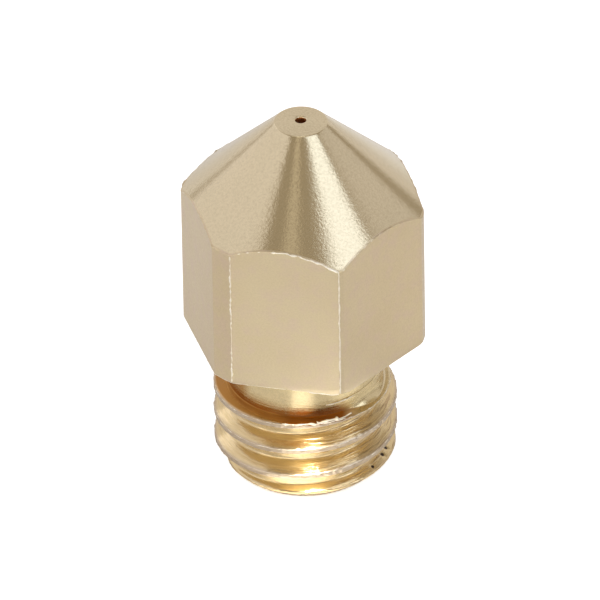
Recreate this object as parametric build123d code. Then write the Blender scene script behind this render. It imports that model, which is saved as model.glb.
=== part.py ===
"""Brass extruder nozzle: a flat tip on a 90 degree cone, a hexagon, a relief neck and an M6 x 1 thread.

The origin is the centre of the thread's end face. +Z runs along the nozzle's axis to the tip, and one
flat of the hexagon faces -Y. Lengths are in millimetres and angles in degrees.
"""

from build123d import *
from math import radians, tan
import os

# Heights along the axis, measured from the thread's end face.
OVERALL = 13.0
HEAD_HEIGHT = 8.0  # from the shoulder under the hexagon to the tip
NECK_LENGTH = 1.78  # from the shoulder down to the last crest of the thread

# Head.
ACROSS_FLATS = 7.0
LAND_RADIUS = 3.99  # the hexagon's corners are turned to this radius
TIP_RADIUS = 0.84
CONE_HALF_ANGLE = 45.0
SHOULDER_CHAMFER = 0.12  # radial width of the chamfer that breaks the corners under the hexagon
SHOULDER_CHAMFER_ANGLE = 30.0

# Neck and thread. The crest is a little under the nominal 3 mm, as on a turned M6 x 1 thread.
NECK_RADIUS = 2.5
CREST_RADIUS = 2.95
ROOT_RADIUS = 2.42
PITCH = 1.0
FLANK_HALF_ANGLE = 30.0
CREST_WIDTH = 0.183
END_RADIUS = 2.4  # the end chamfer runs from here up to the crest at 45 degrees
CREST_HEIGHT_AT_X = 0.362  # height of a crest where it crosses the +X side

# Passage for the filament.
BORE_RADIUS = 1.0
BORE_CHAMFER = 0.25
ORIFICE_RADIUS = 0.2
ORIFICE_LENGTH = 0.6
DRILL_HALF_ANGLE = 30.0

SPARE = 0.15  # how far a cutting shape runs past the metal it cuts

shoulder_z = OVERALL - HEAD_HEIGHT
thread_z = shoulder_z - NECK_LENGTH


def turned(outline):
    """The solid that an outline of (radius, height) points makes when it is turned about the axis."""
    return revolve(make_face(Plane.XZ * Polyline(*outline, close=True)), Axis.Z)


def head():
    """The hexagon, with its corners, its cone and the chamfer under it all turned in one setting."""
    bar = Pos(0, 0, shoulder_z) * extrude(
        RegularPolygon(ACROSS_FLATS / 2, 6, major_radius=False), HEAD_HEIGHT
    )
    cone_height = (LAND_RADIUS - TIP_RADIUS) / tan(radians(CONE_HALF_ANGLE))
    chamfer_height = SHOULDER_CHAMFER * tan(radians(SHOULDER_CHAMFER_ANGLE))
    blank = turned(
        [
            (0, shoulder_z),
            (LAND_RADIUS - SHOULDER_CHAMFER, shoulder_z),
            (LAND_RADIUS, shoulder_z + chamfer_height),
            (LAND_RADIUS, OVERALL - cone_height),
            (TIP_RADIUS, OVERALL),
            (0, OVERALL),
        ]
    )
    return bar & blank


def neck():
    """The relief between the shoulder and the thread."""
    return Pos(0, 0, thread_z) * Cylinder(
        NECK_RADIUS, NECK_LENGTH, align=(Align.CENTER, Align.CENTER, Align.MIN)
    )


def thread_groove():
    """The right-hand V groove between the crests, from below the end face to above the last crest."""
    flank = tan(radians(FLANK_HALF_ANGLE))
    outer_radius = CREST_RADIUS + SPARE
    crest_half_width = (PITCH - CREST_WIDTH) / 2
    root_half_width = crest_half_width - (CREST_RADIUS - ROOT_RADIUS) * flank
    outer_half_width = crest_half_width + SPARE * flank
    turns_below = 2
    start_z = CREST_HEIGHT_AT_X + PITCH / 2 - turns_below * PITCH
    turns = turns_below + round(thread_z / PITCH)
    section = make_face(
        Plane.XZ
        * Pos(0, start_z)
        * Polyline(
            (ROOT_RADIUS, -root_half_width),
            (outer_radius, -outer_half_width),
            (outer_radius, outer_half_width),
            (ROOT_RADIUS, root_half_width),
            close=True,
        )
    )
    path = Pos(0, 0, start_z) * Helix(pitch=PITCH, height=turns * PITCH, radius=ROOT_RADIUS)
    return sweep(section, path=path, is_frenet=True)


def thread():
    """The threaded end, with its chamfer."""
    blank = turned(
        [
            (0, 0),
            (END_RADIUS, 0),
            (CREST_RADIUS, CREST_RADIUS - END_RADIUS),
            (CREST_RADIUS, thread_z),
            (0, thread_z),
        ]
    )
    return blank - thread_groove()


def passage():
    """The filament bore, its mouth chamfer, the drill point and the orifice."""
    drill_height = (BORE_RADIUS - ORIFICE_RADIUS) / tan(radians(DRILL_HALF_ANGLE))
    drill_top = OVERALL - ORIFICE_LENGTH
    return turned(
        [
            (0, -SPARE),
            (BORE_RADIUS + BORE_CHAMFER + SPARE, -SPARE),
            (BORE_RADIUS, BORE_CHAMFER),
            (BORE_RADIUS, drill_top - drill_height),
            (ORIFICE_RADIUS, drill_top),
            (ORIFICE_RADIUS, OVERALL + SPARE),
            (0, OVERALL + SPARE),
        ]
    )


nozzle = head() + neck() + thread() - passage()
nozzle.label = "nozzle"
os.makedirs("parts", exist_ok=True)
export_step(nozzle, "parts/nozzle.step")
print("nozzle:", len(nozzle.solids()), "solid,", round(nozzle.volume, 2), "mm3")
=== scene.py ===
from math import acos, atan2, cos, degrees, pi, radians, sin, sqrt, tan

import bpy
import numpy as np
from mathutils import Matrix, Vector


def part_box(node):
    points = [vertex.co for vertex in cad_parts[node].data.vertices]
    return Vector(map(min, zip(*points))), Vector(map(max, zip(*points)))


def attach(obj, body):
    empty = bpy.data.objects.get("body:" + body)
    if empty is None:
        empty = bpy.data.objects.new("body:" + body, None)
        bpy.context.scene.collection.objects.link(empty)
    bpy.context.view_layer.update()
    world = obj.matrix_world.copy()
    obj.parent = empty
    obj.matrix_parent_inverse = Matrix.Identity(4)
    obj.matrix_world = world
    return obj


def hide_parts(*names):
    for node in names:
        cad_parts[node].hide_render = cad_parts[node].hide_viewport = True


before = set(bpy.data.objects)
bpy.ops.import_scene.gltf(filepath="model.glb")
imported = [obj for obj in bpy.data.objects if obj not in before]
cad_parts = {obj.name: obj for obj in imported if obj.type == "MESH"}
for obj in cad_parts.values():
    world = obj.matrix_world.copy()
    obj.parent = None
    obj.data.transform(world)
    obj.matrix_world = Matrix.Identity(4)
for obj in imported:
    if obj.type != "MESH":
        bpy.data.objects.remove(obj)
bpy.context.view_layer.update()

# ---------------------------------------------------------------------------------------------
# Sizes, in millimetres. The overall ones come from the frame, and the rest are the nozzle's own.
# ---------------------------------------------------------------------------------------------
MM = 0.001
low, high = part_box("nozzle")
OVERALL = (high.z - low.z) / MM
APOTHEM = (high.y - low.y) / MM / 2
LAND_RADIUS = (high.x - low.x) / MM / 2
SHOULDER_Z = 5.0
LEDGE_Z = 3.22
NECK_RADIUS = 2.5
CREST_RADIUS = 2.945
ROOT_RADIUS = 2.44
CREST_HALF_WIDTH = 0.07
PITCH = 1.0
CREST_HEIGHT_AT_X = 0.362
END_RADIUS = 2.4
TIP_RADIUS = 0.84
BORE_RADIUS = 1.0
BORE_CHAMFER = 0.25
ORIFICE_RADIUS = 0.2
ORIFICE_LENGTH = 0.6
ORIFICE_SHIFT = 0.1  # how far the orifice is off centre, away from the camera
DRILL_SLOPE = tan(radians(30))
EDGE = 0.03  # how far a worn edge is rounded back from the sharp corner
HEX_CHAMFER = 0.12  # how far in from its corners the hexagon's lower chamfer starts
HEX_CHAMFER_SLOPE = tan(radians(30))
TABLE_GAP = 0.01  # how far the table lies below the nozzle

# How much the lathe took off each corner of the hexagon, from the +X corner round to the next.
CORNER_CUT = [0.06, 0.01, 0.04, 0.08, 0.15, 0.0]
FULL_TURN = 2 * pi
TO_CAMERA = radians(-77.1)  # the direction of the camera, as an angle from +X

# Small dark pits in the lowest turn of the thread: the angle from +X, the height and the depth.
PITS = [(-2, 0.60, 0.07), (-9.5, 0.57, 0.09), (-24, 0.53, 0.05)]
PIT_RADIUS = 2.68


def smooth(x):
    """0 below 0, 1 above 1, and an easy curve between."""
    x = np.clip(x, 0, 1)
    return x * x * (3 - 2 * x)


def waves(seed, count, lowest, highest):
    """A smooth random function of an angle, about -1 to 1, that repeats after a full turn."""
    draw = np.random.default_rng(seed)
    rates = draw.integers(lowest, highest, count)
    phases = draw.uniform(0, FULL_TURN, count)
    size = sqrt(2 / count)

    def value(angle):
        return size * sum(np.sin(rate * angle + phase) for rate, phase in zip(rates, phases))

    return value


CREST_WOBBLE = waves(1, 14, 20, 90)
CREST_NICKS = waves(2, 18, 40, 160)
LEDGE_BURR = waves(3, 18, 60, 220)
TOP_BURR = waves(4, 16, 60, 240)
NECK_RIBS = waves(5, 8, 2, 9)
CHAMFER_DENTS = waves(6, 18, 30, 120)


# ---------------------------------------------------------------------------------------------
# The outline of the hexagon, and the thread's surface
# ---------------------------------------------------------------------------------------------
def corner_land(angle):
    """The radius that the lathe left at the corner nearest to this angle."""
    corner = np.round(angle / (pi / 3)).astype(int) % 6
    return LAND_RADIUS - np.array(CORNER_CUT)[corner]


def hexagon(angle):
    """The distance from the axis to the hexagon's side, with its corners turned back."""
    from_flat = (angle % (pi / 3)) - pi / 6
    side = APOTHEM / np.cos(from_flat)
    land = corner_land(angle)
    soft = 0.006
    return -soft * np.logaddexp(-side / soft, -land / soft)


def columns():
    """The angles of the nozzle's points: even steps, with more beside each turned corner."""
    even = np.arange(0, 360, 1.0)
    extra = []
    for corner in range(6):
        land = LAND_RADIUS - CORNER_CUT[corner]
        half = 30 - degrees(acos(APOTHEM / land))
        for side in (-1, 1):
            for step in (-0.45, -0.2, 0.0, 0.2, 0.45):
                extra.append((corner * 60 + side * half + step) % 360)
    angles = np.unique(np.round(np.concatenate([even, extra]), 2))
    keep = np.concatenate([[True], np.diff(angles) > 0.12])
    return np.radians(angles[keep])


def thread_radius(angle, z):
    """The threaded surface: crest, 60 degree flanks and root, following a right-hand helix."""
    turn = (z - CREST_HEIGHT_AT_X) / PITCH - angle / FULL_TURN
    from_crest = np.abs(turn - np.round(turn)) * PITCH
    slope = sqrt(3)
    flank = CREST_RADIUS - (from_crest - CREST_HALF_WIDTH) * slope
    soft = 0.014
    crest = -soft * np.logaddexp(-CREST_RADIUS / soft, -flank / soft)
    hollow = 0.025
    root = hollow * np.logaddexp(crest / hollow, ROOT_RADIUS / hollow)
    near_crest = np.exp(-(from_crest / 0.07) ** 2)
    along = 0.937 * (angle + FULL_TURN * np.round(turn))
    wobble = 0.008 * CREST_WOBBLE(along) + 0.010 * CREST_NICKS(along)
    return root + near_crest * (wobble - 0.008)


def cut_back(angle, z, radius):
    """The small pits in the lowest turn, and the dented chamfer at the end."""
    for where, height, depth in PITS:
        across = ((angle - radians(where) + pi) % FULL_TURN - pi) * PIT_RADIUS
        radius = radius - depth * np.exp(-(across / 0.06) ** 2 - ((z - height) / 0.05) ** 2)
    chamfer = END_RADIUS + z + 0.006 * CHAMFER_DENTS(angle) * smooth((0.6 - z) / 0.4)
    return np.minimum(radius, chamfer)


def flare(angle):
    """How far the foot of the neck spreads over the ledge. It does so on one side only."""
    from_camera_side = np.degrees((angle - TO_CAMERA + pi) % FULL_TURN - pi)
    return 0.36 * smooth((from_camera_side - 28) / 32) * smooth((95 - from_camera_side) / 60)


def neck_radius(angle, z):
    """The neck: turned in fine ribs, with the scratch that the threading tool left running out."""
    ribs = 0.0012 * np.sin(FULL_TURN * z / 0.14 + 1.5 * NECK_RIBS(angle))
    ribs = ribs + 0.0006 * np.sin(FULL_TURN * z / 0.071)
    turn = (z - CREST_HEIGHT_AT_X) / PITCH - angle / FULL_TURN - 0.41
    from_tip = np.abs(turn - np.round(turn)) * PITCH
    from_ledge = z - LEDGE_Z
    right_side = smooth((np.cos(angle - radians(-31)) - 0.84) / 0.1)
    deep = 0.03 * smooth((0.75 - from_ledge) / 0.3) * right_side
    scratch = deep * np.clip(1 - from_tip / 0.035, 0, 1)
    foot = flare(angle) * np.exp(-from_ledge / 0.13)
    return NECK_RADIUS + foot + ribs - scratch


# ---------------------------------------------------------------------------------------------
# The mesh: rings of points down the outside and back up the bore
# ---------------------------------------------------------------------------------------------
def bend(start, corner, end, steps):
    """Points round a worn corner, as (radius, height) pairs, without the first and the last."""
    points = []
    for t in np.linspace(0, 1, steps + 2)[1:-1]:
        a, b, c = (1 - t) ** 2, 2 * t * (1 - t), t * t
        points.append(tuple(a * start[i] + b * corner[i] + c * end[i] for i in (0, 1)))
    return points


def head_rings(angle):
    """From the orifice's rim over the tip, down the cone and the hexagon, to the neck's top."""
    rings = [
        (ORIFICE_RADIUS - 0.03, OVERALL - 0.03, "bore"),
        (ORIFICE_RADIUS - 0.015, OVERALL - 0.008, "turned"),
    ]
    rings += [(radius, OVERALL, "turned") for radius in (ORIFICE_RADIUS, 0.25, 0.4, 0.6, 0.74)]
    worn = 0.022
    slope = worn / sqrt(2)
    start = (TIP_RADIUS - worn, OVERALL)
    end = (TIP_RADIUS + slope, OVERALL - slope)
    tip_edge = [start, *bend(start, (TIP_RADIUS, OVERALL), end, 2), end]
    rings += [(radius, z, "turned") for radius, z in tip_edge]

    side = hexagon(angle)
    cone_foot = OVERALL - (side - TIP_RADIUS)
    back = EDGE / sqrt(2)
    cone_end = (side - back, cone_foot + back)
    for share in (0.03, 0.12, 0.25, 0.4, 0.55, 0.7, 0.85, 0.95, 0.99):
        radius = end[0] + share * (cone_end[0] - end[0])
        rings.append((radius, OVERALL - (radius - TIP_RADIUS), "turned"))
    side_start = (side, cone_foot - EDGE)
    rings.append((*cone_end, "milled"))
    burr = 0.012 * np.abs(TOP_BURR(angle)) * (side < 3.93)
    for radius, z in bend(cone_end, (side, cone_foot), side_start, 3):
        rings.append((radius + burr, z + 0.4 * burr, "milled"))
    rings.append((*side_start, "milled"))
    side_top = cone_foot - EDGE - 0.03
    rings.append((side, side_top, "milled"))

    chamfer_start = LAND_RADIUS - HEX_CHAMFER
    foot = SHOULDER_Z + np.maximum(side - chamfer_start, 0) * HEX_CHAMFER_SLOPE + 0.02
    for share in (0.2, 0.4, 0.6, 0.8, 0.97):
        rings.append((side, side_top * (1 - share) + (foot + 0.02) * share, "milled"))
    rings.append((side, foot, "milled"))
    rings.append((side - 0.006, foot - 0.014, "turned"))
    under = np.minimum(side, chamfer_start) - 0.012
    rings.append((under, np.full_like(angle, SHOULDER_Z), "turned"))
    neck_corner = NECK_RADIUS + 0.06
    for share in (0.05, 0.35, 0.7):
        rings.append((under + share * (neck_corner - under), SHOULDER_Z, "turned"))
    rings.append((neck_corner, SHOULDER_Z, "turned"))
    rings.append((NECK_RADIUS + 0.018, SHOULDER_Z - 0.018, "turned"))
    return rings


def neck_rings(angle):
    """Down the ribbed neck and out across the ledge above the thread."""
    upper = np.linspace(SHOULDER_Z - 0.06, 4.4, 7)
    lower = np.linspace(4.37, LEDGE_Z + 0.004, 40)
    rings = [(neck_radius(angle, z), z, "turned") for z in np.concatenate([upper, lower])]
    inner = neck_radius(angle, LEDGE_Z + 0.004)
    outer = thread_radius(angle, np.full_like(angle, LEDGE_Z))
    for share in (0.01, 0.3, 0.6, 0.88):
        rings.append((inner + share * (outer - inner), LEDGE_Z - 0.004 * share, "ledge"))
    return rings


def end_rings():
    """Across the end face, in at the mouth and up the bore to the orifice."""
    drill_top = OVERALL - ORIFICE_LENGTH
    drill_foot = drill_top - (BORE_RADIUS - ORIFICE_RADIUS) / DRILL_SLOPE
    mouth = BORE_RADIUS + BORE_CHAMFER
    face = (END_RADIUS - 0.02, END_RADIUS - 0.06, 1.9, mouth + 0.04, mouth + 0.01)
    inside = [
        (mouth - 0.01, 0.01),
        (BORE_RADIUS + 0.01, BORE_CHAMFER - 0.01),
        (BORE_RADIUS, BORE_CHAMFER + 0.03),
        (BORE_RADIUS, 4.0),
        (BORE_RADIUS, 8.0),
        (BORE_RADIUS, drill_foot - 0.02),
        (BORE_RADIUS - 0.02, drill_foot + 0.03),
        (ORIFICE_RADIUS + 0.02, drill_top - 0.03),
        (ORIFICE_RADIUS - 0.03, drill_top + 0.02),
    ]
    inside += [(ORIFICE_RADIUS - 0.03, OVERALL - depth) for depth in (0.4, 0.25, 0.1)]
    rings = [(radius, 0.0, "turned") for radius in face]
    rings += [(radius, z, "bore") for radius, z in inside]
    return rings


# The finishes of the faces, in the order of the materials at the end of this file.
FINISHES = ["milled", "turned", "ledge", "thread", "bore", "burr"]


class Surface:
    """Collects points and faces, one ring of points at a time."""

    def __init__(self, angle):
        self.angle = angle
        self.points = []
        self.faces = []
        self.finish = []

    def add(self, angle, radius, z):
        """Adds the points and returns their numbers."""
        first = len(self.points)
        radius = np.broadcast_to(radius, angle.shape)
        z = np.broadcast_to(z, angle.shape)
        self.points.extend(zip(radius * np.cos(angle), radius * np.sin(angle), z))
        return np.arange(first, len(self.points))

    def strip(self, upper, lower, finish):
        """Faces between two rings of points."""
        count = len(upper)
        for i in range(count):
            j = (i + 1) % count
            self.face([upper[i], lower[i], lower[j], upper[j]], finish)

    def face(self, corners, finish):
        """One face without its repeated corners, or none if fewer than three are left."""
        seen = []
        for corner in corners:
            if corner not in seen:
                seen.append(corner)
        if len(seen) > 2:
            self.faces.append(seen)
            self.finish.append(FINISHES.index(finish))


def thread_edge(angle, z):
    """The thread's surface, with a torn burr where the last crest runs out at the ledge."""
    from_ledge = LEDGE_Z - z
    torn = 0.016 * LEDGE_BURR(angle) * np.exp(-(from_ledge / 0.05) ** 2)
    return thread_radius(angle, z) + torn


def thread_grid(surface, top, bottom):
    """The threaded stretch, whose rows of points climb with the helix. Returns its end rings."""
    angle = surface.angle
    half = [0, 0.035, 0.06, 0.08, 0.105, 0.15, 0.2, 0.25, 0.3, 0.34, 0.365, 0.385, 0.42, 0.5]
    pattern = half + [1 - share for share in half[-2:0:-1]]
    per_turn = len(pattern)
    lowest = int(np.floor((bottom - CREST_HEIGHT_AT_X) / PITCH)) - 2
    turns = int(np.ceil((top - bottom) / PITCH)) + 4

    def height(column, row):
        turn, step = divmod(row, per_turn)
        turns_up = lowest + turn + pattern[step] + angle[column] / FULL_TURN
        return CREST_HEIGHT_AT_X + PITCH * turns_up

    numbers = {}
    tops = surface.add(angle, thread_edge(angle, top), np.full_like(angle, top))
    foot = cut_back(angle, bottom, thread_radius(angle, np.full_like(angle, bottom)))
    bottoms = surface.add(angle, foot, np.full_like(angle, bottom))
    rows = turns * per_turn
    heights = np.array(
        [[height(column, row) for row in range(rows)] for column in range(len(angle))]
    )
    for column in range(len(angle)):
        inside = [row for row in range(rows) if bottom + 0.004 < heights[column, row] < top - 0.004]
        z = heights[column, inside]
        around = np.full_like(z, angle[column])
        radius = cut_back(around, z, thread_edge(around, z))
        for row, point in zip(inside, surface.add(around, radius, z)):
            numbers[column, row] = point

    def point_at(column, row):
        if row < 0:
            return bottoms[column]
        if (column, row) in numbers:
            return numbers[column, row]
        above = row >= rows or heights[column, row] > (top + bottom) / 2
        return tops[column] if above else bottoms[column]

    for column in range(len(angle)):
        following = (column + 1) % len(angle)
        climb = per_turn if following == 0 else 0
        for row in range(-per_turn, rows):
            left = [point_at(column, row + 1), point_at(column, row)]
            right = [point_at(following, row + climb), point_at(following, row + 1 + climb)]
            surface.face(left + right, "thread")
    return tops, bottoms


def drift(x, y, z):
    """Moves the orifice off centre, as the drill wandered on its way through the tip."""
    near_tip = smooth((z - OVERALL + ORIFICE_LENGTH) / 0.4)
    near_axis = smooth((0.5 - sqrt(x * x + y * y)) / 0.25)
    shift = ORIFICE_SHIFT * float(near_tip * near_axis)
    return (x - shift * cos(TO_CAMERA), y - shift * sin(TO_CAMERA), z)


def rough_values(seed, count, every):
    """Random values from 0 to 1 that change smoothly, with a new one each so many steps."""
    draw = np.random.default_rng(seed)
    knots = np.arange(0, count + every, every)
    return np.interp(np.arange(count), knots, draw.random(len(knots)))


def burr_line(surface, seed, angle, radius, z, thin, thick):
    """A fine uneven bead of metal along an edge. The edge is given as angles, radii and heights."""
    angle, radius, z = np.broadcast_arrays(angle, radius, z)
    path = np.stack([radius * np.cos(angle), radius * np.sin(angle), z], axis=1)
    size = thin + (thick - thin) * rough_values(seed, len(path), 2) ** 2
    outward = np.stack([np.cos(angle), np.sin(angle), np.full_like(angle, 0.3)], axis=1)
    outward /= np.linalg.norm(outward, axis=1)[:, None]
    sideways = np.cross(np.gradient(path, axis=0), outward)
    sideways /= np.linalg.norm(sideways, axis=1)[:, None]
    path = path + sideways * ((rough_values(seed + 1, len(path), 3) - 0.5) * thick * 0.7)[:, None]
    sides = 6
    first = len(surface.points)
    for i in range(len(path)):
        for turn in np.arange(sides) * FULL_TURN / sides:
            spoke = cos(turn) * outward[i] + sin(turn) * sideways[i]
            surface.points.append(tuple(path[i] + size[i] * spoke))
    for i in range(len(path) - 1):
        for j in range(sides):
            a, b = first + i * sides + j, first + i * sides + (j + 1) % sides
            surface.face([a, b, b + sides, a + sides], "burr")
    last = first + (len(path) - 1) * sides
    surface.face([first + j for j in range(sides)][::-1], "burr")
    surface.face([last + j for j in range(sides)], "burr")


def cone_foot_height(angle):
    """The height of the edge between the cone and the hexagon."""
    return OVERALL - (hexagon(angle) - TIP_RADIUS)


def worn_edges(surface):
    """Beads of metal on the edges that the tools left sharpest."""

    def arc(start, end, step):
        return np.radians(np.arange(start, end, step))

    def cone_edge(seed, angle, drop, thin, thick):
        radius = hexagon(angle) - 0.008
        burr_line(surface, seed, angle, radius, cone_foot_height(angle) - drop, thin, thick)

    def upright(seed, angle, radius, heights, thin, thick):
        burr_line(surface, seed, np.full_like(heights, angle), radius, heights, thin, thick)

    front = arc(-117, -60.5, 0.7)
    cone_edge(11, front[:34], 0.004, 0.007, 0.022)
    cone_edge(12, front[33:], 0.004, 0.02, 0.05)
    cone_edge(13, arc(-58.7, -2, 0.9), 0.006, 0.005, 0.012)
    cone_edge(14, arc(-178, -124, 0.9), 0.006, 0.005, 0.011)

    land = LAND_RADIUS - CORNER_CUT[4]
    left_edge = radians(-120 + 30 - degrees(acos(APOTHEM / land)))
    down = np.arange(OVERALL - land + TIP_RADIUS - 0.03, SHOULDER_Z + 0.04, -0.045)
    upright(15, left_edge, land - 0.004, down, 0.006, 0.042)
    land = LAND_RADIUS - CORNER_CUT[5]
    right_edge = radians(-60 - 30 + degrees(acos(APOTHEM / land)) + 0.5)
    down = np.arange(OVERALL - land + TIP_RADIUS, SHOULDER_Z + 0.06, -0.05)
    upright(16, right_edge, land - 0.006, down, 0.016, 0.034)

    foot = arc(-176, -61, 0.8)
    side = hexagon(foot) - 0.008
    lift = np.maximum(hexagon(foot) - (LAND_RADIUS - HEX_CHAMFER), 0) * HEX_CHAMFER_SLOPE
    burr_line(surface, 17, foot, side, SHOULDER_Z + 0.012 + lift, 0.006, 0.017)
    burr_line(surface, 18, foot[-18:], side[-18:], SHOULDER_Z + 0.005 + lift[-18:], 0.012, 0.03)

    torn = arc(-92, -50, 1.0)
    torn_z = np.minimum(CREST_HEIGHT_AT_X + 3 + torn / FULL_TURN + 0.08, LEDGE_Z + 0.015)
    burr_line(surface, 19, torn, CREST_RADIUS - 0.02, torn_z, 0.01, 0.045)
    curled = arc(-70, -56, 0.8)
    curled_z = np.linspace(LEDGE_Z + 0.02, LEDGE_Z + 0.13, len(curled))
    burr_line(surface, 31, curled, CREST_RADIUS - 0.03, curled_z, 0.03, 0.075)
    lip = arc(-58, -46, 0.8)
    lip_z = np.linspace(LEDGE_Z + 0.03, LEDGE_Z + 0.12, len(lip))
    burr_line(surface, 34, lip, CREST_RADIUS - 0.05, lip_z, 0.012, 0.03)
    ridge = arc(-62, -38, 0.8)
    ridge_z = np.linspace(LEDGE_Z + 0.385, LEDGE_Z + 0.436, len(ridge))
    burr_line(surface, 35, ridge, NECK_RADIUS + 0.008, ridge_z, 0.014, 0.03)
    down = np.arange(OVERALL - LAND_RADIUS + TIP_RADIUS, SHOULDER_Z + 0.06, -0.05)
    upright(33, radians(-1.5), LAND_RADIUS - 0.07, down, 0.006, 0.02)
    rim = arc(-50, 10, 1.2)
    rim_radius = thread_radius(rim, np.full_like(rim, LEDGE_Z - 0.01)) - 0.01
    burr_line(surface, 20, rim, rim_radius, LEDGE_Z - 0.005, 0.003, 0.02)
    for seed, start, end in ((21, -550, -92), (25, -770, -560)):
        crest = arc(start, end, 1.6)
        crest_z = CREST_HEIGHT_AT_X + 3 + crest / FULL_TURN + 0.065
        burr_line(surface, seed, crest, CREST_RADIUS - 0.018, crest_z, 0.002, 0.015)


def sharpen_ledge(mesh):
    """Keeps the inner corner where the ledge meets the neck from being shaded round."""
    touching = {}
    for polygon in mesh.polygons:
        for edge in polygon.edge_keys:
            touching.setdefault(edge, set()).add(FINISHES[polygon.material_index])
    for edge in mesh.edges:
        edge.use_edge_sharp = touching[edge.key] == {"turned", "ledge"}


def build_nozzle():
    """The whole nozzle as one closed mesh, with the burrs on its edges."""
    angle = columns()
    surface = Surface(angle)
    rings = head_rings(angle) + neck_rings(angle)
    numbers = [surface.add(angle, radius, z) for radius, z, _ in rings]
    for i in range(1, len(rings)):
        surface.strip(numbers[i - 1], numbers[i], rings[i][2])
    tops, bottoms = thread_grid(surface, LEDGE_Z - 0.012, 0.015)
    surface.strip(numbers[-1], tops, "ledge")
    previous = bottoms
    for radius, z, finish in end_rings():
        ring = surface.add(angle, radius, z)
        surface.strip(previous, ring, finish)
        previous = ring
    surface.strip(previous, numbers[0], "bore")
    worn_edges(surface)
    surface.points = [drift(*point) for point in surface.points]

    mesh = bpy.data.meshes.new("nozzle_body")
    mesh.from_pydata([tuple(MM * c for c in point) for point in surface.points], [], surface.faces)
    mesh.polygons.foreach_set("material_index", surface.finish)
    mesh.polygons.foreach_set("use_smooth", [True] * len(mesh.polygons))
    mesh.validate()
    mesh.update()
    sharpen_ledge(mesh)
    piece = bpy.data.objects.new("nozzle_body", mesh)
    bpy.context.scene.collection.objects.link(piece)
    return piece


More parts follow.
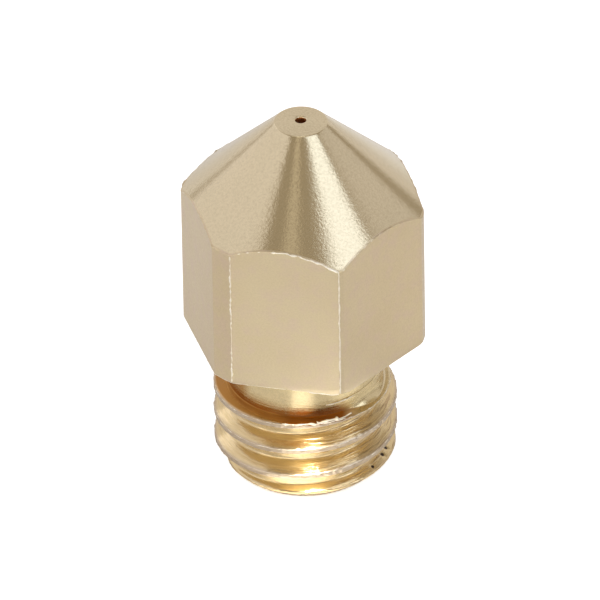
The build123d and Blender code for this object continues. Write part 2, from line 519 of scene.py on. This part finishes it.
# ---------------------------------------------------------------------------------------------
# Materials
# ---------------------------------------------------------------------------------------------
class Nodes:
    """Short ways to add nodes to a material."""

    def __init__(self, name):
        self.material = bpy.data.materials.new(name)
        self.material.use_nodes = True
        self.tree = self.material.node_tree
        self.shader = self.tree.nodes["Principled BSDF"]

    def link(self, source, target):
        self.tree.links.new(source, target)

    def put(self, value, socket):
        """A number, a vector or another node's output, into a socket."""
        if isinstance(value, bpy.types.NodeSocket):
            self.link(value, socket)
        else:
            socket.default_value = value

    def math(self, operation, a, b=0.0):
        node = self.tree.nodes.new("ShaderNodeMath")
        node.operation = operation
        self.put(a, node.inputs[0])
        self.put(b, node.inputs[1])
        return node.outputs[0]

    def place(self):
        """The position on the object, in metres."""
        return self.tree.nodes.new("ShaderNodeTexCoord").outputs["Object"]

    def join(self, x, y, z):
        """Three numbers as one vector."""
        node = self.tree.nodes.new("ShaderNodeCombineXYZ")
        for value, socket in zip((x, y, z), node.inputs):
            self.put(value, socket)
        return node.outputs[0]

    def split(self, vector):
        """A vector's X, Y and Z."""
        node = self.tree.nodes.new("ShaderNodeSeparateXYZ")
        self.link(vector, node.inputs[0])
        return node.outputs

    def from_axis(self, x, y):
        """The distance from the nozzle's axis."""
        squares = self.math("ADD", self.math("MULTIPLY", x, x), self.math("MULTIPLY", y, y))
        return self.math("SQRT", squares)

    def slant(self, x, y, share):
        """X with a share of Y added, for colours that change at a slant across the nozzle."""
        return self.math("ADD", x, self.math("MULTIPLY", y, share))

    def turned_place(self, around, along):
        """A position for turning marks: noise taken there is drawn out round the axis."""
        x, y, z = self.split(self.place())
        radius = self.from_axis(x, y)
        safe = self.math("MAXIMUM", radius, 1e-5)
        return self.join(
            self.math("MULTIPLY", self.math("DIVIDE", x, safe), around),
            self.math("MULTIPLY", self.math("DIVIDE", y, safe), around),
            self.math("MULTIPLY", self.math("SUBTRACT", z, radius), along),
        )

    def helix_marks(self, around, across, detail):
        """Noise drawn out along the thread, with no seam."""
        x, y, z = self.split(self.place())
        angle = self.math("ARCTAN2", y, x)
        phase = self.math("SUBTRACT", self.math("MULTIPLY", z, FULL_TURN / (PITCH * MM)), angle)
        vector = self.join(
            self.math("MULTIPLY", self.math("COSINE", phase), across),
            self.math("MULTIPLY", self.math("SINE", phase), across),
            self.math("MULTIPLY", self.math("COSINE", angle), around),
        )
        fourth = self.math("MULTIPLY", self.math("SINE", angle), around)
        fourth = self.math("ADD", fourth, self.math("MULTIPLY", z, 500))
        return self.noise(vector, 1.0, detail, 0.6, fourth)

    def pits(self, position):
        """1 inside the small pits of the lowest turn, and 0 outside them."""
        inside = 0.0
        for where, height, depth in PITS:
            out = (PIT_RADIUS - 0.5 * depth) * MM
            centre = (out * cos(radians(where)), out * sin(radians(where)), height * MM)
            distance = self.tree.nodes.new("ShaderNodeVectorMath")
            distance.operation = "DISTANCE"
            self.put(position, distance.inputs[0])
            self.put(centre, distance.inputs[1])
            size = (0.05 + 0.4 * depth) * MM
            spot = self.spread(distance.outputs["Value"], 0.6 * size, size, 1, 0)
            inside = self.math("MAXIMUM", inside, spot)
        return inside

    def noise(self, vector, scale, detail=3.0, roughness=0.55, fourth=None):
        node = self.tree.nodes.new("ShaderNodeTexNoise")
        if fourth is not None:
            node.noise_dimensions = "4D"
            self.put(fourth, node.inputs["W"])
        self.put(vector, node.inputs["Vector"])
        node.inputs["Scale"].default_value = scale
        node.inputs["Detail"].default_value = detail
        node.inputs["Roughness"].default_value = roughness
        return node.outputs["Fac"]

    def spread(self, value, low_in, high_in, low_out, high_out):
        """A value carried from one range to another, and held at its ends."""
        node = self.tree.nodes.new("ShaderNodeMapRange")
        self.put(value, node.inputs["Value"])
        node.inputs["From Min"].default_value = low_in
        node.inputs["From Max"].default_value = high_in
        node.inputs["To Min"].default_value = low_out
        node.inputs["To Max"].default_value = high_out
        return node.outputs["Result"]

    def blend(self, factor, first, second):
        node = self.tree.nodes.new("ShaderNodeMix")
        node.data_type = "RGBA"
        self.put(factor, node.inputs["Factor"])
        for value, socket in ((first, node.inputs["A"]), (second, node.inputs["B"])):
            self.put(value if isinstance(value, bpy.types.NodeSocket) else (*value, 1.0), socket)
        return node.outputs["Result"]

    def bump(self, height, distance, strength=1.0, normal=None):
        node = self.tree.nodes.new("ShaderNodeBump")
        node.inputs["Strength"].default_value = strength
        node.inputs["Distance"].default_value = distance
        self.put(height, node.inputs["Height"])
        if normal is not None:
            self.link(normal, node.inputs["Normal"])
        return node.outputs["Normal"]

    def metal(self, colour, roughness, normal):
        self.shader.inputs["Metallic"].default_value = 1.0
        self.put(colour, self.shader.inputs["Base Color"])
        self.put(roughness, self.shader.inputs["Roughness"])
        self.link(normal, self.shader.inputs["Normal"])
        return self.material

    def lathe_sheen(self, amount):
        """Gloss that is drawn out across the turning marks."""
        tangent = self.tree.nodes.new("ShaderNodeTangent")
        tangent.direction_type = "RADIAL"
        tangent.axis = "Z"
        self.link(tangent.outputs[0], self.shader.inputs["Tangent"])
        self.shader.inputs["Anisotropic"].default_value = amount
        self.shader.inputs["Anisotropic Rotation"].default_value = 0.25


def milled_brass():
    """The flats: an even satin finish with a fine grain."""
    n = Nodes("milled_brass")
    position = n.place()
    cloud = n.noise(position, 420, 2)
    grain = n.noise(position, 16000, 2, 0.7)
    clean = n.blend(n.spread(cloud, 0.3, 0.7, 0, 1), (0.68, 0.555, 0.345), (0.71, 0.59, 0.375))
    mottle = n.noise(position, 2200, 3, 0.6)
    tint = n.blend(n.spread(mottle, 0.45, 0.7, 0, 0.5), clean, (0.69, 0.53, 0.41))
    colour = n.blend(n.spread(grain, 0.35, 0.65, 0, 0.16), tint, (0.42, 0.33, 0.2))
    roughness = n.spread(grain, 0.3, 0.7, 0.28, 0.38)
    normal = n.bump(grain, 0.000004)
    return n.metal(colour, roughness, normal)


def turned_brass():
    """The cone, tip and neck: a fine leathery grain and turning marks. The neck is painted with
    shade under the hexagon: a warmer tint all over, and orange on its lower left.
    """
    n = Nodes("turned_brass")
    position = n.place()
    x, y, z = n.split(position)
    rings = n.noise(n.turned_place(3, 16000), 1.0, 3, 0.6)
    grain = n.noise(position, 13000, 2.5, 0.6)
    cloud = n.noise(position, 500, 2)
    clean = n.blend(n.spread(cloud, 0.3, 0.7, 0, 1), (0.71, 0.60, 0.385), (0.74, 0.62, 0.40))
    neck = n.spread(z, 0.0049, 0.005, 1, 0)
    low = n.spread(z, 0.0032, 0.0038, 1, 0)
    left = n.spread(n.slant(x, y, 0.25), -0.0014, -0.0004, 1, 0)
    far_left = n.spread(n.slant(x, y, 0.25), -0.0021, -0.0018, 1, 0)
    # Painted shade: orange on the lower left of the neck under the hexagon's corner, and a warmer
    # tint over the whole neck below the hexagon.
    neck_shade = n.math("MULTIPLY", neck, n.math("MAXIMUM", far_left, n.math("MULTIPLY", low, left)))
    warm = n.blend(neck, clean, (0.75, 0.61, 0.34))
    gold = n.blend(neck_shade, warm, (0.46, 0.24, 0.06))
    colour = n.blend(n.spread(grain, 0.4, 0.7, 0, 0.22), gold, (0.42, 0.33, 0.2))
    roughness = n.spread(grain, 0.3, 0.7, 0.14, 0.22)
    ribs = n.math("MULTIPLY", rings, n.spread(neck, 0, 1, 0.15, 1))
    normal = n.bump(grain, 0.0000048, 1.0, n.bump(ribs, 0.000007))
    n.lathe_sheen(0.85)
    return n.metal(colour, roughness, normal)


def ledge_brass():
    """The ledge over the thread: dark gold on the left and red-brown in the middle, both painted
    shade under the neck, then bare.
    """
    n = Nodes("ledge_brass")
    rings = n.noise(n.turned_place(4, 20000), 1.0, 3, 0.6)
    x, y, _ = n.split(n.place())
    across = n.slant(x, y, 0.18)
    bare = n.spread(across, 0.0013, 0.0019, 0, 1)
    gold = n.blend(n.spread(rings, 0.3, 0.7, 0, 1), (0.50, 0.23, 0.055), (0.62, 0.34, 0.10))
    # Painted shade: the dark gold and the red-brown stand for the shade under the neck and head
    # that the ledge reflects.
    ledge_shade = n.blend(n.spread(across, -0.001, -0.0003, 0, 1), gold, (0.30, 0.10, 0.012))
    colour = n.blend(bare, ledge_shade, (0.72, 0.60, 0.38))
    n.lathe_sheen(0.6)
    return n.metal(colour, n.spread(bare, 0, 1, 0.5, 0.25), n.bump(rings, 0.000002))


def thread_brass():
    """The thread: dull pale crests, scored gold between them, and orange painted shade at its top
    on the left.
    """
    n = Nodes("thread_brass")
    position = n.place()
    x, y, z = n.split(position)
    radius = n.from_axis(x, y)
    crest = n.spread(radius, 0.00284, 0.00293, 0, 1)
    scores = n.helix_marks(2.5, 3.2, 4)
    fine = n.helix_marks(9.0, 6.0, 2)
    to_right = n.math("SUBTRACT", n.math("MULTIPLY", x, 0.77), n.math("MULTIPLY", y, 0.64))
    right = n.spread(to_right, 0.0018, 0.0023, 0.35, 1)
    groove = n.blend(n.spread(scores, 0.35, 0.65, 0, 1), (0.69, 0.52, 0.26), (0.77, 0.61, 0.35))
    pale = n.blend(n.spread(fine, 0.35, 0.65, 0, 1), (0.50, 0.39, 0.265), (0.63, 0.52, 0.385))
    clean = n.blend(crest, groove, pale)
    inner = n.spread(radius, 0.00284, 0.00292, 1, 0)
    high = n.spread(z, 0.00285, 0.003, 0, 1)
    left = n.spread(n.slant(x, y, 0.25), -0.0006, 0.0004, 1, 0)
    # Painted shade: orange at the top of the thread on the left, under the hexagon.
    run_out = n.math("MULTIPLY", n.math("MULTIPLY", inner, high), left)
    lines = n.math("MULTIPLY", n.spread(scores, 0.55, 0.62, 0, 0.6), right)
    scored = n.blend(lines, clean, (0.30, 0.17, 0.06))
    top_shade = n.blend(run_out, scored, (0.46, 0.22, 0.05))
    # Painted shade: the pits are coloured near black.
    colour = n.blend(n.pits(position), top_shade, (0.05, 0.03, 0.02))
    dull = n.math("MAXIMUM", n.math("MULTIPLY", run_out, 0.5), n.math("MULTIPLY", crest, 0.3))
    roughness = n.math("MAXIMUM", n.spread(fine, 0.35, 0.65, 0.1, 0.2), dull)
    normal = n.bump(fine, 0.000004, 1.0, n.bump(n.math("MULTIPLY", scores, right), 0.00002))
    n.lathe_sheen(0.3)
    return n.metal(colour, roughness, normal)


def bore_brass():
    """Inside the bore: drilled, and dull."""
    n = Nodes("bore_brass")
    marks = n.noise(n.turned_place(4, 12000), 1.0, 3, 0.6)
    colour = n.blend(n.spread(marks, 0.3, 0.7, 0, 1), (0.60, 0.24, 0.07), (0.74, 0.38, 0.14))
    return n.metal(colour, n.spread(marks, 0.3, 0.7, 0.38, 0.5), n.bump(marks, 0.000004))


def burr_highlight_brass():
    """The raw metal of a burr: paler than the rest, and pushed near white as a painted highlight.
    """
    n = Nodes("burr_highlight_brass")
    grain = n.noise(n.place(), 20000, 2)
    # Painted highlight: the burrs are coloured near white.
    colour = n.blend(n.spread(grain, 0.3, 0.7, 0, 1), (0.92, 0.84, 0.66), (1.0, 0.95, 0.84))
    return n.metal(colour, 0.5, n.bump(grain, 0.000003))


def floor_paper():
    """Plain pale paper, lit from within so that it shows as white."""
    n = Nodes("floor_paper")
    fibres = n.noise(n.place(), 900, 3)
    colour = n.blend(fibres, (0.86, 0.86, 0.86), (0.89, 0.89, 0.89))
    n.put(colour, n.shader.inputs["Base Color"])
    n.shader.inputs["Roughness"].default_value = 0.9
    n.shader.inputs["Specular IOR Level"].default_value = 0.1
    n.shader.inputs["Emission Color"].default_value = (1.0, 1.0, 1.0, 1.0)
    path = n.tree.nodes.new("ShaderNodeLightPath")
    glow = n.spread(path.outputs["Is Camera Ray"], 0, 1, 0.1, 0.68)
    n.put(glow, n.shader.inputs["Emission Strength"])
    return n.material


# ---------------------------------------------------------------------------------------------
# The studio
# ---------------------------------------------------------------------------------------------
SUBJECT = Vector((0, 0, OVERALL * 0.5 * MM))
LIGHT_DISTANCE = 0.3  # in metres
SPOT_DISTANCE = 0.25  # in metres
SPOT_HEIGHT = 62  # above the horizon, in degrees
PAPER_WHITENESS = 0.87

# Soft boxes: name, turn to the right of the camera, height above the horizon, width and height of
# the box as seen from the nozzle, all in degrees, then brightness and colour.
SOFT_BOXES = [
    ("key", 55, 46, 29, 50, 1.25, (0.82, 0.97, 1.28)),
    ("left_wall", -100, 32, 80, 60, 0.52, (0.94, 1.0, 1.23)),
    ("front_fill", -15, 52, 10, 30, 0.25, (1.0, 0.98, 0.92)),
    ("right_wall", 102, 24, 48, 36, 0.34, (0.92, 1.0, 1.25)),
    ("back_wall", 178, 24, 84, 50, 0.42, (0.95, 1.0, 1.2)),
    ("front_low", -15, 13, 110, 20, 1.8, (1.0, 1.0, 1.0)),
    ("overhead", 180, 80, 16, 14, 2.5, (1.0, 0.99, 0.97)),
]

# Narrow lights that fall on the table: name, turn to the right of the camera in degrees, the lit
# patch's distance from the axis and its radius in millimetres, then brightness and colour.
TABLE_SPOTS = [
    ("table_front", -4, 8.3, 2.3, 1.1, (1.0, 1.0, 1.0)),
    ("table_middle", -4, 4.9, 0.7, 0.5, (1.0, 1.0, 1.0)),
    ("table_foot", -3, 3.4, 0.6, 1.6, (1.0, 0.96, 0.88)),
    ("table_right", 54, 7.0, 3.0, 0.5, (1.0, 1.0, 1.0)),
    ("table_far_front", -28, 14.0, 5.0, 0.22, (0.9, 1.0, 1.05)),
    ("table_far_right", 93, 14.0, 5.0, 0.12, (1.0, 0.9, 0.7)),
    ("table_back_right", 162, 50.0, 26.0, 0.16, (0.9, 1.0, 1.1)),
]


def direction(turn, height):
    """A unit vector, from a turn to the right of the camera and a height, both in degrees."""
    angle = TO_CAMERA + radians(turn)
    flat = cos(radians(height))
    return Vector((flat * cos(angle), flat * sin(angle), sin(radians(height))))


def soft_box(name, turn, height, width, tall, brightness, colour):
    """A rectangular light that faces the nozzle and fills the stated angle."""
    light = bpy.data.lights.new(name, "AREA")
    light.shape = "RECTANGLE"
    light.size = 2 * LIGHT_DISTANCE * tan(radians(width / 2))
    light.size_y = 2 * LIGHT_DISTANCE * tan(radians(tall / 2))
    light.energy = brightness * pi * light.size * light.size_y
    light.color = colour
    holder = bpy.data.objects.new(name, light)
    holder.location = SUBJECT + LIGHT_DISTANCE * direction(turn, height)
    holder.rotation_euler = (SUBJECT - holder.location).to_track_quat("-Z", "Y").to_euler()
    holder.visible_camera = False
    bpy.context.scene.collection.objects.link(holder)


def table_spot(name, turn, distance, radius, brightness, colour):
    """A lamp that lights one small patch of the table near the nozzle."""
    light = bpy.data.lights.new(name, "SPOT")
    light.spot_size = 2 * atan2(radius * MM, SPOT_DISTANCE)
    light.spot_blend = 0.5
    light.shadow_soft_size = 0.0005
    light.energy = brightness * 4 * pi * pi * SPOT_DISTANCE**2 / PAPER_WHITENESS
    light.color = colour
    target = distance * MM * direction(turn, 0)
    holder = bpy.data.objects.new(name, light)
    holder.location = target + SPOT_DISTANCE * direction(turn, SPOT_HEIGHT)
    holder.rotation_euler = (target - holder.location).to_track_quat("-Z", "Y").to_euler()
    bpy.context.scene.collection.objects.link(holder)


def surroundings():
    """An even warm grey room, which shows as white where the camera looks straight at it."""
    world = bpy.data.worlds.new("room")
    world.use_nodes = True
    bpy.context.scene.world = world
    background = world.node_tree.nodes["Background"]
    path = world.node_tree.nodes.new("ShaderNodeLightPath")
    seen = world.node_tree.nodes.new("ShaderNodeMix")
    seen.data_type = "RGBA"
    seen.inputs["A"].default_value = (0.41, 0.361, 0.299, 1.0)
    seen.inputs["B"].default_value = (1.0, 1.0, 1.0, 1.0)
    world.node_tree.links.new(path.outputs["Is Camera Ray"], seen.inputs["Factor"])
    world.node_tree.links.new(seen.outputs["Result"], background.inputs["Color"])


def table_top():
    """The pale table that the nozzle stands on."""
    half = 1.5
    below = -TABLE_GAP * MM
    square = [(-half, -half), (half, -half), (half, half), (-half, half)]
    corners = [(x, y, below) for x, y in square]
    mesh = bpy.data.meshes.new("table_top")
    mesh.from_pydata(corners, [], [(0, 1, 2, 3)])
    table = bpy.data.objects.new("table_top", mesh)
    table.data.materials.append(floor_paper())
    bpy.context.scene.collection.objects.link(table)


def camera():
    """Looks down at the nozzle through a long lens, so that it shows little perspective."""
    height, roll, distance, frame_width, sensor = 35.94, 0.97, 0.5, 0.0193, 36
    right_of_origin, above_origin = -0.00020, 0.00487
    toward = direction(0, height)
    right = Vector((-sin(TO_CAMERA), cos(TO_CAMERA), 0))
    up = toward.cross(right)
    tilt = radians(roll)
    across = cos(tilt) * right - sin(tilt) * up
    upward = cos(tilt) * up + sin(tilt) * right
    data = bpy.data.cameras.new("camera")
    data.sensor_width = sensor
    data.lens = sensor * distance / frame_width
    data.clip_start = 0.05
    data.clip_end = 10
    holder = bpy.data.objects.new("camera", data)
    holder.matrix_world = Matrix((across, upward, toward)).transposed().to_4x4()
    holder.location = distance * toward + right_of_origin * across + above_origin * upward
    bpy.context.scene.collection.objects.link(holder)
    bpy.context.scene.camera = holder


# ---------------------------------------------------------------------------------------------
# The scene
# ---------------------------------------------------------------------------------------------
nozzle = build_nozzle()
for make in (milled_brass, turned_brass, ledge_brass, thread_brass, bore_brass, burr_highlight_brass):
    nozzle.data.materials.append(make())
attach(nozzle, "root")
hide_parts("nozzle")

table_top()
surroundings()
for box in SOFT_BOXES:
    soft_box(*box)
for spot in TABLE_SPOTS:
    table_spot(*spot)
camera()
bpy.context.scene.view_settings.view_transform = "Standard"
